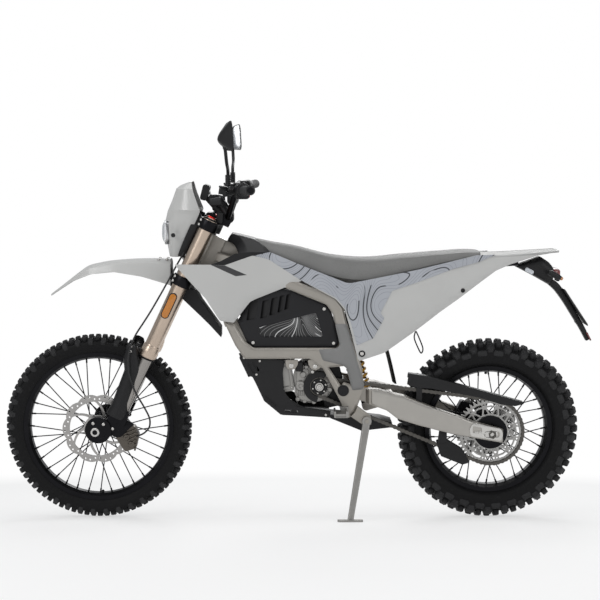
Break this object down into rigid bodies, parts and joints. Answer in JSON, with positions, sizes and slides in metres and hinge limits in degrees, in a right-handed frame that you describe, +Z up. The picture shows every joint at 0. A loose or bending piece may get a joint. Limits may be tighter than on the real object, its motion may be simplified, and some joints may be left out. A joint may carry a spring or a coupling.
{
  "type": "electric off-road motorcycle",
  "caption": "Road-legal electric enduro motorcycle with spoked wheels, parked leaning on its side stand.",
  "frame": {"origin": "centre of the underside of the parked bike's bounding box, on the ground", "axes": "+X rearward, +Y to the rider's right, +Z up; the bike leans 10 degrees to the left on its side stand"},
  "size_m": [2.1939, 0.9078, 1.5357],
  "materials": {
    "tyre_rubber": "knobbly tread, matt",
    "black_alloy": "black anodised, satin",
    "bare_alloy": "cast and machined, satin",
    "frame_alloy": "warm silver, satin",
    "disc_steel": "ground",
    "fork_gold": "champagne anodised, satin",
    "black_plastic": "moulded, fine grain",
    "grey_plastic": "light grey moulded, semi-gloss",
    "guard_plastic": "mid grey moulded",
    "seat_cover": "grey grained vinyl",
    "grip_rubber": "moulded",
    "lamp_lens": "clear lens",
    "tail_lens": "red and amber lenses",
    "chain_steel": "oiled",
    "spring_gold": "gold, gloss",
    "controller_alloy": "finned casting",
    "battery_case": "black, matt"
  },
  "bodies": {
    "frame": {"main_frame": "frame_alloy", "rear_subframe": "black_alloy", "frame_guards": "guard_plastic", "battery_pack": "battery_case", "battery_covers": "black_plastic", "drive_motor": "bare_alloy", "motor_controller": "controller_alloy", "skid_plate": "black_plastic", "swingarm": "frame_alloy", "drive_chain": "chain_steel", "chain_guards": "black_plastic", "rear_shock": "black_alloy", "shock_spring": "spring_gold", "side_shrouds": "grey_plastic", "tank_covers": "black_plastic", "seat": "seat_cover", "rear_bodywork": "grey_plastic", "mud_flap": "black_plastic", "plate_holder": "black_plastic", "rear_lights": "tail_lens", "foot_controls": "bare_alloy", "rear_brake_caliper": "black_alloy"},
    "front_wheel": {"front_tyre": "tyre_rubber", "front_rim": "black_alloy", "front_hub": "black_alloy", "front_brake_disc": "disc_steel"},
    "rear_wheel": {"rear_tyre": "tyre_rubber", "rear_rim": "black_alloy", "rear_hub": "black_alloy", "rear_sprocket": "disc_steel", "rear_brake_disc": "disc_steel"},
    "side_stand": {"side_stand": "bare_alloy"},
    "steering": {"fork_tubes": "fork_gold", "fork_legs": "black_alloy", "triple_clamps": "black_alloy", "fork_guards": "black_plastic", "front_brake_caliper": "bare_alloy", "headlight_cowl": "grey_plastic", "headlight_lamp": "lamp_lens", "front_fender": "grey_plastic", "fender_blade": "black_plastic", "handlebar": "black_alloy", "grips": "grip_rubber", "hand_controls": "black_plastic", "mirrors": "black_plastic", "brake_hose": "grip_rubber"}
  },
  "joints": [
    {"name": "steering", "type": "hinge", "parent": "frame", "child": "steering", "pos_m": [-0.40472, 0.09119, 0.88214], "axis": [0.4226, -0.1574, 0.8925], "range_deg": [-42, 42]},
    {"name": "front_wheel_spin", "type": "hinge", "parent": "steering", "child": "front_wheel", "pos_m": [-0.74898, 0.18611, 0.34384], "axis": [0, -0.9848, -0.1736], "continuous": true},
    {"name": "rear_wheel_spin", "type": "hinge", "parent": "frame", "child": "rear_wheel", "pos_m": [0.71498, 0.1875, 0.33596], "axis": [0, -0.9848, -0.1736], "continuous": true},
    {"name": "side_stand_fold", "type": "hinge", "parent": "frame", "child": "side_stand", "pos_m": [0.24998, 0.02843, 0.36275], "axis": [0.041, -0.9937, -0.1041], "range_deg": [0, 139]}
  ]
}
